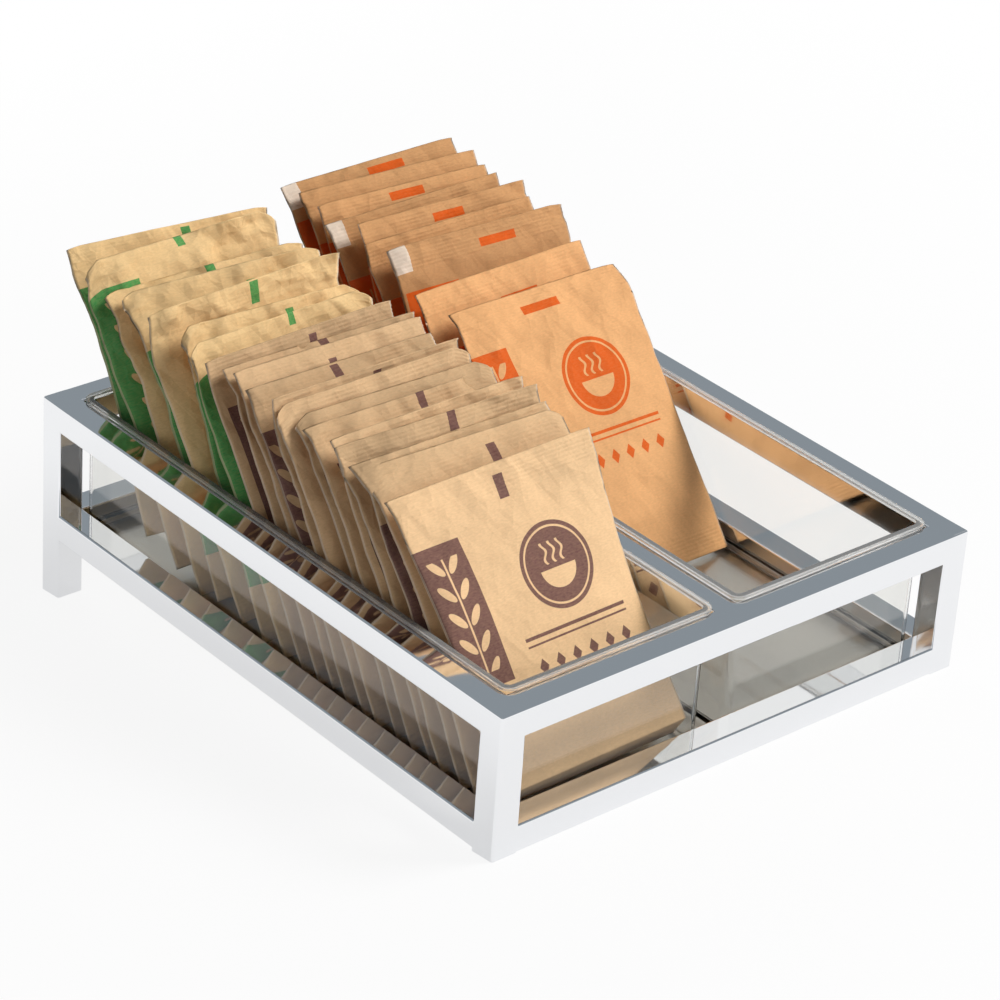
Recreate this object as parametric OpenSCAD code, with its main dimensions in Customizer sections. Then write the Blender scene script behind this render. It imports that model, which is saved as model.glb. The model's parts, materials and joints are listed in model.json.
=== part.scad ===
// Countertop holder for oatmeal packets. A welded frame of polished square tube stands tilted towards
// the front on two longer back legs. Two clear trays drop into its top and stand on a sheet floor.
// Paper packets lean back in the trays: green and plum ones on the left, orange ones on the right.
// X runs to the right, Y to the back and Z up, with the origin on the table under the middle of the holder.

/* [Frame] */
// Width of the frame, left to right
frame_w = 254; // [210:1:320]
// Depth of the frame along its base, front to back
frame_d = 308; // [270:1:380]
// Height of the frame, square to its base
frame_h = 66.5; // [55:0.5:90]
// Outside size of the square tube
tube = 12.7; // [10:0.1:18]
// Wall thickness of the square tube
tube_wall = 1.2; // [0.8:0.1:2]
// How far the back legs reach below the base, at their back edge
leg_drop = 30; // [15:1:50]
// Thickness of the sheet floor between the bottom rails
floor_t = 1.2; // [0.8:0.1:3]

/* [Feet] */
// Length of the plug in the lower end of each post, at its front edge
plug_len = 9; // [5:0.5:20]
// Gap between a plug and the inside of its post, on each side
plug_gap = 0.1; // [0.05:0.05:0.3]

/* [Trays] */
// Thickness of a tray's walls
tray_wall = 1.5; // [1.2:0.1:3]
// Thickness of a tray's bottom
tray_bottom = 2; // [1.5:0.1:4]
// Radius of a tray's upright outer corners
tray_r = 4; // [3.2:0.1:8]
// Gap between a tray's walls and the rails, on each side
tray_gap = 0.8; // [0.6:0.1:2.5]
// How far a tray's lip lies over the rails
lip_over = 1.2; // [1:0.1:3]
// Thickness of a tray's lip
lip_t = 1.2; // [1:0.1:4]
// Gap between pieces that rest on or beside each other
rest_gap = 0.3; // [0.2:0.05:0.5]

/* [Packets] */
// Length of a packet, seal to seal
packet_l = 136; // [120:1:150]
// Gap between a packet and the tray's wall, on each side
packet_side_gap = 2.2; // [0.8:0.1:4]
// Thickness of a packet's end seals
seal_t = 1.2; // [0.6:0.1:2]
// Height of a packet's end seals
seal_h = 12; // [8:1:18]
// Lean of the stacked packets in degrees, back from square to the base
packet_lean = 33.5; // [28:0.5:36]
// Number of green packets, at the back of the left tray
green_count = 7; // [2:1:9]
// Distance from one green packet to the next along the tray
green_pitch = 15; // [11:0.5:16]
// Number of stacked plum packets, in front of the green ones
plum_count = 12; // [6:1:14]
// Lean of the free plum packet in front, in degrees
front_lean = 37; // [35:0.5:40]
// Room between the plum stack and the free packet as it is drawn out
front_gap = 1; // [0.5:0.5:8]
// Slant of the free packet's lower seal, bent back under it, in degrees from square to the base
tuck_slant = 35; // [0:1:45]
// Number of stacked orange packets, at the back of the right tray
orange_count = 7; // [2:1:8]
// Distance from one stacked orange packet to the next along the tray
orange_pitch = 11; // [8:0.5:12]
// Number of orange packets that lie loose in front of the stack
loose_count = 2; // [1:1:2]
// Lean of the loose orange packets in degrees
loose_lean = 38; // [36:0.5:42]
// Thickness of the loose orange packets and of the free plum one
loose_belly = 8; // [6:0.5:10]
// Room between the orange stack and the loose packets' upper ends
loose_gap = 11; // [2:0.5:12]
// Distance from one loose orange packet to the next along the tray
loose_pitch = 22; // [14:1:26]

/* [Hidden] */
// How far each green, plum and orange packet has worked up out of its stack, back one first
green_lift = [9, 8, 1, 2, 4, 0, 2, 1, 0];
plum_lift = [1, 0, 2, 0, 1, 3, 0, 1, 0, 2, 0, 1, 0, 0];
orange_lift = [7, 5, 4, 2, 3, 1, 0, 0];
// How far through-cuts run past the faces that they open
cut = 1;

tilt = atan(leg_drop / frame_d);
place_y = sin(tilt) * (frame_h - leg_drop) / 2;
place_z = sin(tilt) * frame_d / 2;
bore = tube - 2 * tube_wall;
rail_z = frame_h - tube;

// One top opening between the rails, and the tray that drops into it
open_w = (frame_w - 3 * tube) / 2;
open_d = frame_d - 2 * tube;
tray_x = (tube + open_w) / 2;
tray_w = open_w - 2 * tray_gap;
tray_d = open_d - 2 * tray_gap;
tray_z = floor_t + rest_gap;
lip_z = frame_h + rest_gap;
lip_grow = 2 * (tray_gap + lip_over);
well_w = tray_w - 2 * tray_wall;
well_d = tray_d - 2 * tray_wall;
well_z = tray_z + tray_bottom;
rim_z = lip_z + lip_t;

// A packet's belly lies between these shares of its length
belly_from = 0.26;
belly_to = 0.62;
packet_w = well_w - 2 * packet_side_gap;
thin = seal_t / 2;
lean_sin = sin(packet_lean);
lean_cos = cos(packet_lean);
green_belly = belly(green_pitch);
orange_belly = belly(orange_pitch);
foot_z = foot_height(packet_lean);
// The free plum packet's bend, by the tray's front wall, and its lower seal's end and half thickness
// from there, each as Y and Z; then how far back the packet reaches, square to the stack
tuck_tip = seal_h * [sin(tuck_slant), -cos(tuck_slant)];
tuck_side = thin * [cos(tuck_slant), sin(tuck_slant)];
front_bend = [rest_gap + thin - well_d / 2, well_z + rest_gap + tuck_side[1] - tuck_tip[1]];
front_reach = behind(front_bend) + max(
    behind(tuck_tip + tuck_side),
    behind(leaned(loose_belly / 2, packet_l * belly_to - seal_h)),
    behind(leaned(thin, packet_l - seal_h))
);
green_front_y = back_foot(green_belly) - (green_count - 1) * green_pitch;
// Back and front of the plum stack where its packets' feet stand
plum_back_y = green_front_y - green_pitch / 2;
plum_face_y = (front_reach + front_gap + foot_z * lean_sin) / lean_cos;
plum_pitch = (plum_back_y - plum_face_y) / plum_count;
plum_belly = belly(plum_pitch);
orange_front_y = back_foot(orange_belly) - (orange_count - 1) * orange_pitch;
fan = loose_lean - packet_lean;
loose_depth = packet_l * sin(fan) + loose_belly / 2 + orange_belly / 2 + loose_gap;
loose_back_y = orange_front_y - loose_depth / lean_cos;

// Thickness of packets that stand a pitch apart along the tray and all but touch
function belly(pitch) = pitch * lean_cos - rest_gap;
// Height of a leaning packet's foot, just clear of the tray's bottom
function foot_height(lean) = well_z + rest_gap + thin * sin(lean);
// How far back a place given as Y and Z lies, square to the stacked packets
function behind(place) = place[0] * lean_cos - place[1] * lean_sin;
// Y and Z of a place on the free plum packet, from its bend: distance out of its back and up along it
function leaned(out, up) = [
    out * cos(front_lean) + up * sin(front_lean),
    up * cos(front_lean) - out * sin(front_lean)
];
// Place of the foot of a packet that leans on the tray's back rim
function back_foot(thick) =
    well_d / 2 - (thick / 2 + rest_gap + (rim_z - foot_z) * lean_sin) / lean_cos;

// Stands the frame's own axes, square to its base, on the table
module placed() {
    translate([0, place_y, place_z])
        rotate([tilt, 0, 0])
            children();
}

// Everything below the table top, which cuts the posts and plugs level
module below_table() {
    translate([-frame_w, -frame_d, -frame_d])
        cube([2 * frame_w, 2 * frame_d, frame_d]);
}

// Square tube along Z, standing on its lower end
module square_tube(length) {
    difference() {
        translate([-tube / 2, -tube / 2, 0])
            cube([tube, tube, length]);
        translate([-bore / 2, -bore / 2, -cut])
            cube([bore, bore, length + 2 * cut]);
    }
}

// A rail with square ends along X, its underside at z = 0
module butt_rail(length) {
    translate([-length / 2, 0, tube / 2])
        rotate([0, 90, 0])
            square_tube(length);
}

// Plan of a mitred rail along X from one distance inside its outer side to another
module mitre_plan(length, near, far, run) {
    reach = length / 2 + run;
    polygon([[near - reach, near], [reach - near, near], [reach - far, far], [far - reach, far]]);
}

// A rail of the top with mitred ends along X, its outer side on the X axis
module mitred_rail(length) {
    difference() {
        linear_extrude(tube)
            mitre_plan(length, 0, tube, 0);
        translate([0, 0, tube_wall])
            linear_extrude(bore)
                mitre_plan(length, tube_wall, tube - tube_wall, cut);
    }
}

// A post in one corner, cut level with the table
module post(side_x, side_y) {
    color("gainsboro")
        difference() {
            placed()
                translate([side_x * (frame_w - tube) / 2, side_y * (frame_d - tube) / 2, -leg_drop - tube])
                    square_tube(rail_z + leg_drop + tube);
            below_table();
        }
}

module front_left_post() { post(-1, -1); }
module front_right_post() { post(1, -1); }
module back_left_leg() { post(-1, 1); }
module back_right_leg() { post(1, 1); }

// A plug in the lower end of one post, its sole level with the table
module foot(side_x, side_y) {
    plug = bore - 2 * plug_gap;
    sole = side_y < 0 ? 0 : -leg_drop;
    color("whitesmoke")
        difference() {
            placed()
                translate([side_x * (frame_w - tube) / 2, side_y * (frame_d - tube) / 2, 0])
                    translate([-plug / 2, -plug / 2, sole - tube])
                        cube([plug, plug, plug_len + tube]);
            below_table();
        }
}

module front_left_foot() { foot(-1, -1); }
module front_right_foot() { foot(1, -1); }
module back_left_foot() { foot(-1, 1); }
module back_right_foot() { foot(1, 1); }

// A mitred rail on one side of the top, turned to face that side
module top_rail(turn, length, away) {
    color("lightslategray")
        placed()
            rotate([0, 0, turn])
                translate([0, -away / 2, rail_z])
                    mitred_rail(length);
}

module front_top_rail() { top_rail(0, frame_w, frame_d); }
module back_top_rail() { top_rail(180, frame_w, frame_d); }
module left_top_rail() { top_rail(-90, frame_d, frame_w); }
module right_top_rail() { top_rail(90, frame_d, frame_w); }

// The rail between the two trays, from the front rail to the back one
module centre_top_rail() {
    color("lightslategray")
        placed()
            translate([0, 0, rail_z])
                rotate([0, 0, 90])
                    butt_rail(open_d);
}

// A rail between two posts at the base
module bottom_rail(turn, length, away) {
    color("gainsboro")
        placed()
            rotate([0, 0, turn])
                translate([0, (tube - away) / 2, 0])
                    butt_rail(length - 2 * tube);
}

module front_bottom_rail() { bottom_rail(0, frame_w, frame_d); }
module back_bottom_rail() { bottom_rail(180, frame_w, frame_d); }
module left_bottom_rail() { bottom_rail(-90, frame_d, frame_w); }
module right_bottom_rail() { bottom_rail(90, frame_d, frame_w); }

// The sheet floor inside the bottom rails, on which the trays stand
module floor_sheet() {
    color("silver")
        placed()
            translate([tube - frame_w / 2, tube - frame_d / 2, 0])
                cube([frame_w - 2 * tube, frame_d - 2 * tube, floor_t]);
}

// A rectangle with round corners, centred
module round_plan(w, d, r) {
    square([w - 2 * r, d], center = true);
    square([w, d - 2 * r], center = true);
    for (x = [-1, 1], y = [-1, 1])
        translate([x * (w / 2 - r), y * (d / 2 - r)])
            circle(r, $fn = 48);
}

// One clear tray: a straight-sided well with a flat lip round its mouth
module tray(side) {
    color("lightcyan", 0.4)
        placed()
            translate([side * tray_x, 0, 0])
                difference() {
                    union() {
                        translate([0, 0, tray_z])
                            linear_extrude(rim_z - tray_z)
                                round_plan(tray_w, tray_d, tray_r);
                        translate([0, 0, lip_z])
                            linear_extrude(lip_t)
                                round_plan(tray_w + lip_grow, tray_d + lip_grow, tray_r + lip_over);
                    }
                    translate([0, 0, well_z])
                        linear_extrude(rim_z - well_z + cut)
                            round_plan(well_w, well_d, tray_r - tray_wall);
                }
}

module left_tray() { tray(-1); }
module right_tray() { tray(1); }

// Side view of a packet standing on its lower seal: thin seals and a flat belly
module packet_profile(thick) {
    heights = [0, seal_h, packet_l * belly_from, packet_l * belly_to, packet_l - seal_h, packet_l];
    halves = [thin, thin, thick / 2, thick / 2, thin, thin];
    last = len(heights) - 1;
    polygon(concat(
        [for (i = [0:last]) [halves[i], heights[i]]],
        [for (i = [last:-1:0]) [-halves[i], heights[i]]]
    ));
}

// One packet in a tray, its foot at foot_y and lifted along its own length
module packet(side, foot_y, lean, lift, thick) {
    placed()
        translate([side * tray_x, foot_y, foot_height(lean)])
            rotate([-lean, 0, 0])
                translate([-packet_w / 2, 0, lift])
                    rotate([90, 0, 90])
                        linear_extrude(packet_w)
                            packet_profile(thick);
}

// Side view of the free plum packet with its bend at the origin: its lower seal is bent back under it
module tucked_profile(thick) {
    heights = [packet_l * belly_from, packet_l * belly_to, packet_l - seal_h, packet_l];
    halves = [thick / 2, thick / 2, thin, thin];
    last = len(heights) - 1;
    turn = (front_lean - tuck_slant) / 2;
    bend = thin / cos((front_lean + tuck_slant) / 2) * [cos(turn), -sin(turn)];
    polygon(concat(
        [tuck_tip - tuck_side, tuck_tip + tuck_side, bend],
        [for (i = [0:last]) leaned(halves[i], heights[i] - seal_h)],
        [for (i = [last:-1:0]) leaned(-halves[i], heights[i] - seal_h)],
        [-bend]
    ));
}

module green_packet(i) {
    color("yellowgreen")
        packet(-1, back_foot(green_belly) - (i - 1) * green_pitch, packet_lean, green_lift[i - 1], green_belly);
}

module plum_packet(i) {
    color("tan")
        packet(-1, plum_back_y - (i - 0.5) * plum_pitch, packet_lean, plum_lift[i - 1], plum_belly);
}

module plum_front_packet() {
    color("burlywood")
        placed()
            translate([-tray_x - packet_w / 2, front_bend[0], front_bend[1]])
                rotate([90, 0, 90])
                    linear_extrude(packet_w)
                        tucked_profile(loose_belly);
}

module orange_packet(i) {
    foot_y = back_foot(orange_belly) - (i - 1) * orange_pitch;
    color("sandybrown")
        packet(1, foot_y, packet_lean, orange_lift[i - 1], orange_belly);
}

module orange_front_packet(i) {
    color("darkorange")
        packet(1, loose_back_y - (i - 1) * loose_pitch, loose_lean, 0, loose_belly);
}

front_left_post();
front_right_post();
back_left_leg();
back_right_leg();
front_top_rail();
back_top_rail();
left_top_rail();
right_top_rail();
centre_top_rail();
front_bottom_rail();
back_bottom_rail();
left_bottom_rail();
right_bottom_rail();
floor_sheet();
front_left_foot();
front_right_foot();
back_left_foot();
back_right_foot();
left_tray();
right_tray();
for (i = [1:green_count])
    green_packet(i);
for (i = [1:plum_count])
    plum_packet(i);
plum_front_packet();
for (i = [1:orange_count])
    orange_packet(i);
for (i = [1:loose_count])
    orange_front_packet(i);
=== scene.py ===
"""Looks of a table-top packet holder: a mirror-polished square-tube frame that tips forward on long
back legs, a steel sheet floor, two clear drop-in trays and three flavours of kraft-paper oat packets."""
import json
import math
import random

import bmesh
import bpy
import numpy as np
from mathutils import Matrix, Vector

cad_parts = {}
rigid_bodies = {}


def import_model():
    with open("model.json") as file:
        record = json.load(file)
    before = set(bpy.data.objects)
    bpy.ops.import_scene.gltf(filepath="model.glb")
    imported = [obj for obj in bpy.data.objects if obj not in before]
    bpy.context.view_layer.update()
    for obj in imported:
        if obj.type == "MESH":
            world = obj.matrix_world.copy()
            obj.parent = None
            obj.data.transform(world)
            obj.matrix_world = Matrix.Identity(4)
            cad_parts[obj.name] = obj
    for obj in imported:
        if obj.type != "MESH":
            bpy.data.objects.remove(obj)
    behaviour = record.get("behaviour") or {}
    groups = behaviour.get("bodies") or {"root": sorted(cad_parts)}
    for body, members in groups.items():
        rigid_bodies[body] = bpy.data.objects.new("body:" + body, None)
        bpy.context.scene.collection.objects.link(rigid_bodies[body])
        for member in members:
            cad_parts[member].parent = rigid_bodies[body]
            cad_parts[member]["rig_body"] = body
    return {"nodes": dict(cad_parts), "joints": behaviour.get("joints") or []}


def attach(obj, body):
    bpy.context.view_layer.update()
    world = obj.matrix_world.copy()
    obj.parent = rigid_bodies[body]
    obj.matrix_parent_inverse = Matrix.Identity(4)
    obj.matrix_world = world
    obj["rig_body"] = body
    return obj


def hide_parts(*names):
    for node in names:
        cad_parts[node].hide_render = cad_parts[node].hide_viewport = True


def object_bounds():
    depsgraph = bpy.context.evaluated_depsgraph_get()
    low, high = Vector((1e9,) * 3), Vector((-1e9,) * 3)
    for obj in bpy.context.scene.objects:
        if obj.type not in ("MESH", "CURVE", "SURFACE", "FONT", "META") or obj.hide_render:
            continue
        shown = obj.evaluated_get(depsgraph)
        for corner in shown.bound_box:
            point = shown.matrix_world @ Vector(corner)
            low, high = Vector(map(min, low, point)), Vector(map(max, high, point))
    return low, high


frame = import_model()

bl_info = {
    "name": "Packet Holder Looks",
    "version": (1, 0, 0),
    "blender": (4, 5, 0),
    "location": "View3D > Sidebar > Packet Holder",
    "description": "Polished frame, clear trays and kraft packets around the packed solids",
    "category": "Object",
}

CAD_BOX = [list(corner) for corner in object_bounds()]
MM = 0.001
MATH = "ShaderNodeMath"
# Sockets of a Mix node that is set to colours
MIX_FROM, MIX_TO, MIXED = 6, 7, 2
WHITE = (1, 1, 1, 1)
TUBES = [
    "front_left_post", "front_right_post", "back_left_leg", "back_right_leg",
    "front_top_rail", "back_top_rail", "left_top_rail", "right_top_rail", "centre_top_rail",
    "front_bottom_rail", "back_bottom_rail", "left_bottom_rail", "right_bottom_rail",
]
LEGS = TUBES[:4]
FEET = ["front_left_foot", "front_right_foot", "back_left_foot", "back_right_foot"]
TRAYS = ["left_tray", "right_tray"]
# Attributes that a packet's paper reads, and the Geometry Nodes inputs that they come from
OWN_LOOKS = {
    "press_drift": "Press Drift", "press_rise": "Press Rise", "tone": "Tone", "bare_corner": "Bare Corner",
    "bare_side": "Bare Side",
}


def linear(hex_code):
    """A colour written as an sRGB hex value, in the linear light that shaders work in."""
    parts = [int(hex_code[i:i + 2], 16) / 255 for i in (1, 3, 5)]
    return [c / 12.92 if c <= 0.04045 else ((c + 0.055) / 1.055) ** 2.4 for c in parts]


def add(tree, kind, *inputs, named=None, **settings):
    """A node with its settings, its first inputs in order and others by name, each set or linked."""
    node = tree.nodes.new(kind)
    for name, value in settings.items():
        setattr(node, name, value)
    for key, value in [*enumerate(inputs), *(named or {}).items()]:
        if isinstance(value, bpy.types.Node):
            value = value.outputs[0]
        if isinstance(value, bpy.types.NodeSocket):
            tree.links.new(value, node.inputs[key])
        elif value is not None:
            node.inputs[key].default_value = value
    return node


def shape_curve(node, points, handle="AUTO"):
    """Gives a Float Curve node these points, smooth or, with VECTOR handles, straight between them."""
    curve = node.mapping.curves[0]
    while len(curve.points) < len(points):
        curve.points.new(0.5, 0.5)
    for point, place in zip(curve.points, points):
        point.location = place
        point.handle_type = handle
    node.mapping.update()
    return node


# Places read from the frame

def joint_axis(name):
    """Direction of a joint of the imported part."""
    return Vector(next(j["axis"] for j in frame["joints"] if j["name"] == name))


LIFT = joint_axis("left_tray_lift")
TILT = math.atan2(-LIFT.y, LIFT.z)
UPRIGHT = Matrix.Rotation(-TILT, 4, "X")
TIPPED = Matrix.Rotation(TILT, 4, "X")


def node_points(node, turn):
    """A node's different vertices, in axes turned by a matrix."""
    co = np.array([turn @ v.co for v in frame["nodes"][node].data.vertices])
    return np.unique(co.round(7), axis=0)


def upright_box(node):
    """A node's lowest and highest corner in the frame's own axes, square to its base."""
    co = node_points(node, UPRIGHT)
    return Vector(co.min(axis=0)), Vector(co.max(axis=0))


def packet_place(node):
    """Where a packet's upper end is, as a matrix with Z along the packet and -Y out of its face, and its
    width, thickness and length. The flat belly, its widest faces, shows how it leans."""
    mesh = frame["nodes"][node].data
    areas = {}
    for face in mesh.polygons:
        facing = tuple(round(c, 3) for c in face.normal)
        areas[facing] = areas.get(facing, 0) + face.area
    belly = Vector(max(areas, key=areas.get)).normalized()
    turn = Matrix.Rotation(-math.atan2(abs(belly.z), abs(belly.y)), 4, "X")
    own = turn.inverted()
    facing_alike = 0.999
    on_belly = [
        (own @ mesh.vertices[i].co).y for face in mesh.polygons
        if abs(face.normal.dot(belly)) > facing_alike for i in face.vertices]
    co = node_points(node, own)
    low, high = co.min(axis=0), co.max(axis=0)
    top = Vector(((low[0] + high[0]) / 2, (min(on_belly) + max(on_belly)) / 2, high[2]))
    size = Vector((high[0] - low[0], max(on_belly) - min(on_belly), high[2] - low[2]))
    return turn @ Matrix.Translation(top), size


# Sizes and colours that a user would change

class FrameFinish(bpy.types.PropertyGroup):
    """Polished tubes, sheet floor and feet."""
    edge_radius: bpy.props.FloatProperty(
        name="Edge radius", description="Rounding of the tubes' outer edges",
        default=0.9 * MM, min=0.2 * MM, max=2 * MM, unit="LENGTH")
    tube_wall: bpy.props.FloatProperty(
        name="Tube wall", description="Steel left around a foot plug",
        default=1.3 * MM, min=0.8 * MM, max=3 * MM, unit="LENGTH")
    plug_recess: bpy.props.FloatProperty(
        name="Plug recess", description="How far a foot plug's hole reaches up a leg",
        default=10 * MM, min=5 * MM, max=20 * MM, unit="LENGTH")
    steel: bpy.props.FloatVectorProperty(
        name="Polished steel", description="Colour of the mirror-polished tubes",
        default=linear("#F1F2F4"), subtype="COLOR")
    sheet: bpy.props.FloatVectorProperty(
        name="Sheet steel", description="Colour of the satin floor sheet",
        default=linear("#B4AFA6"), subtype="COLOR")
    nylon: bpy.props.FloatVectorProperty(
        name="Foot nylon", description="Colour of the foot plugs",
        default=linear("#E4E3DD"), subtype="COLOR")


class TrayFinish(bpy.types.PropertyGroup):
    """Clear drop-in trays."""
    wall: bpy.props.FloatProperty(
        name="Wall", description="Thickness of a tray's walls",
        default=1.5 * MM, min=1 * MM, max=4 * MM, unit="LENGTH")
    bottom: bpy.props.FloatProperty(
        name="Bottom", description="Thickness of a tray's bottom",
        default=2 * MM, min=1 * MM, max=4 * MM, unit="LENGTH")
    lip: bpy.props.FloatProperty(
        name="Lip thickness", description="Thickness of the lip over the rails",
        default=1.2 * MM, min=1 * MM, max=4 * MM, unit="LENGTH")
    overhang: bpy.props.FloatProperty(
        name="Lip overhang", description="How far the lip stands out from the wall",
        default=2 * MM, min=1 * MM, max=6 * MM, unit="LENGTH")
    corner: bpy.props.FloatProperty(
        name="Corner radius", description="Outer radius of a tray's upright corners",
        default=4 * MM, min=3 * MM, max=12 * MM, unit="LENGTH")
    edge: bpy.props.FloatProperty(
        name="Edge radius", description="Rounding of the lip's edges",
        default=0.3 * MM, min=0.1 * MM, max=0.6 * MM, unit="LENGTH")
    tint: bpy.props.FloatVectorProperty(
        name="Tint", description="Colour of the clear acrylic",
        default=linear("#F8F8F6"), subtype="COLOR")


class PacketFinish(bpy.types.PropertyGroup):
    """Kraft-paper packets."""
    side_room: bpy.props.FloatProperty(
        name="Side room", description="How much narrower the paper is than its place",
        default=1.5 * MM, min=0, max=6 * MM, unit="LENGTH")
    belly_room: bpy.props.FloatProperty(
        name="Belly room", description="How much thinner the packet is than its place",
        default=0.9 * MM, min=0, max=3 * MM, unit="LENGTH")
    crimp_pitch: bpy.props.FloatProperty(
        name="Crimp pitch", description="Distance from one rib of a seal to the next",
        default=1.7 * MM, min=1 * MM, max=5 * MM, unit="LENGTH")
    crimp_depth: bpy.props.FloatProperty(
        name="Crimp depth", description="Height of a seal's ribs",
        default=0.09 * MM, min=0, max=1 * MM, unit="LENGTH")
    shift: bpy.props.FloatProperty(
        name="Side shift", description="How far a packet may lie off the middle of its tray",
        default=1.6 * MM, min=0, max=3 * MM, unit="LENGTH")
    green_paper: bpy.props.FloatVectorProperty(
        name="Green packets' kraft", description="Paper of the green packets",
        default=linear("#F9D49B"), subtype="COLOR")
    plum_paper: bpy.props.FloatVectorProperty(
        name="Plum packets' kraft", description="Paper of the plum packets",
        default=linear("#F3CB9C"), subtype="COLOR")
    orange_paper: bpy.props.FloatVectorProperty(
        name="Orange packets' kraft", description="Paper of the orange packets",
        default=linear("#E5AD77"), subtype="COLOR")
    green: bpy.props.FloatVectorProperty(
        name="Green ink", description="Print of the green packets",
        default=linear("#3C9A50"), subtype="COLOR")
    plum: bpy.props.FloatVectorProperty(
        name="Plum ink", description="Print of the plum packets",
        default=linear("#6E4A48"), subtype="COLOR")
    orange: bpy.props.FloatVectorProperty(
        name="Orange ink", description="Print of the orange packets",
        default=linear("#DE5A0E"), subtype="COLOR")


class StageSetup(bpy.types.PropertyGroup):
    """Floor, light and camera."""
    target: bpy.props.FloatVectorProperty(
        name="Target", description="Point that the camera looks at",
        default=(0.0180, 0.0159, 0.0504), subtype="XYZ", unit="LENGTH")
    distance: bpy.props.FloatProperty(
        name="Distance", description="From the camera to its target",
        default=1.6806, min=0.5, max=5, unit="LENGTH")
    azimuth: bpy.props.FloatProperty(
        name="Azimuth", description="The camera's turn to the left of the front",
        default=math.radians(40.08), subtype="ANGLE")
    elevation: bpy.props.FloatProperty(
        name="Elevation", description="The camera's height over the horizon",
        default=math.radians(25.37), subtype="ANGLE")
    lens: bpy.props.FloatProperty(
        name="Lens", description="Focal length on a 36 mm sensor", default=139.83, min=20, max=300)
    floor: bpy.props.FloatVectorProperty(
        name="Floor", description="Colour of the floor", default=linear("#F6F6F6"), subtype="COLOR")
    surround: bpy.props.FloatVectorProperty(
        name="Surround", description="Grey-blue wall that polished tops mirror",
        default=linear("#8D959B"), subtype="COLOR")
    ambient: bpy.props.FloatProperty(
        name="Ambient", description="Soft light from all round", default=0.1, min=0, max=2)
    key: bpy.props.FloatProperty(
        name="Key lamp", description="Power of the large lamp on the right", default=53, unit="POWER")
    fill: bpy.props.FloatProperty(
        name="Fill lamp", description="Power of the low lamp in front", default=13, unit="POWER")
    side: bpy.props.FloatProperty(
        name="Side lamp", description="Power of the low lamp on the left", default=8, unit="POWER")
    back: bpy.props.FloatProperty(
        name="Back lamp", description="Power of the lamp behind", default=14, unit="POWER")


# Materials

def new_material(name):
    """An empty node material with its output."""
    material = bpy.data.materials.new(name)
    material.use_nodes = True
    material.node_tree.nodes.clear()
    return material, material.node_tree, material.node_tree.nodes.new("ShaderNodeOutputMaterial")


def polished_stainless(colour):
    """Mirror-polished stainless tube: a clear mirror with faint buffing haze and a slight wave."""
    haze_size, wave_size, wave_height = 9 * MM, 38 * MM, 0.12 * MM
    clearest, haziest = 0.025, 0.075
    material, tree, output = new_material("mirror_polished_stainless")
    place = add(tree, "ShaderNodeTexCoord").outputs["Object"]
    haze = add(tree, "ShaderNodeTexNoise", named={"Vector": place, "Scale": 1 / haze_size, "Detail": 4})
    rough = add(tree, "ShaderNodeMapRange", haze, 0.3, 0.75, clearest, haziest)
    wave = add(tree, "ShaderNodeTexNoise", named={"Vector": place, "Scale": 1 / wave_size, "Detail": 1})
    bump = add(tree, "ShaderNodeBump", named={"Height": wave, "Strength": 0.25, "Distance": wave_height})
    steel = add(tree, "ShaderNodeBsdfPrincipled", named={
        "Base Color": (*colour, 1), "Metallic": 1, "Roughness": rough, "Normal": bump})
    tree.links.new(steel.outputs[0], output.inputs[0])
    return material


def satin_sheet(colour):
    """Satin stainless sheet: rolled grain along its length blurs what it mirrors."""
    # Rolling grain is some 0.1 mm wide; it is drawn ten times as coarse so that it shows
    grain_width, grain_height, grain_squeeze = 1 * MM, 0.02 * MM, 0.03
    smoothest, roughest = 0.28, 0.38
    material, tree, output = new_material("satin_stainless_sheet")
    place = add(tree, "ShaderNodeTexCoord").outputs["Object"]
    stretched = add(tree, "ShaderNodeMapping", place, named={"Scale": (1, grain_squeeze, 1)})
    grain = add(tree, "ShaderNodeTexNoise", named={
        "Vector": stretched, "Scale": 1 / grain_width, "Detail": 3})
    rough = add(tree, "ShaderNodeMapRange", grain, 0.3, 0.7, smoothest, roughest)
    bump = add(tree, "ShaderNodeBump", named={
        "Height": grain, "Strength": 0.06, "Distance": grain_height})
    steel = add(tree, "ShaderNodeBsdfPrincipled", named={
        "Base Color": (*colour, 1), "Metallic": 1, "Roughness": rough, "Normal": bump})
    tree.links.new(steel.outputs[0], output.inputs[0])
    return material


def moulded_nylon(colour):
    """Moulded nylon: dull, faintly pebbled plug ends."""
    pebble_size, pebble_height = 0.8 * MM, 0.05 * MM
    smoothest, roughest = 0.45, 0.6
    material, tree, output = new_material("moulded_nylon")
    place = add(tree, "ShaderNodeTexCoord").outputs["Object"]
    pebble = add(tree, "ShaderNodeTexNoise", named={"Vector": place, "Scale": 1 / pebble_size})
    rough = add(tree, "ShaderNodeMapRange", pebble, 0.3, 0.7, smoothest, roughest)
    bump = add(tree, "ShaderNodeBump", named={
        "Height": pebble, "Strength": 0.2, "Distance": pebble_height})
    nylon = add(tree, "ShaderNodeBsdfPrincipled", named={
        "Base Color": (*colour, 1), "Roughness": rough, "IOR": 1.53, "Normal": bump})
    tree.links.new(nylon.outputs[0], output.inputs[0])
    return material


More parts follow.
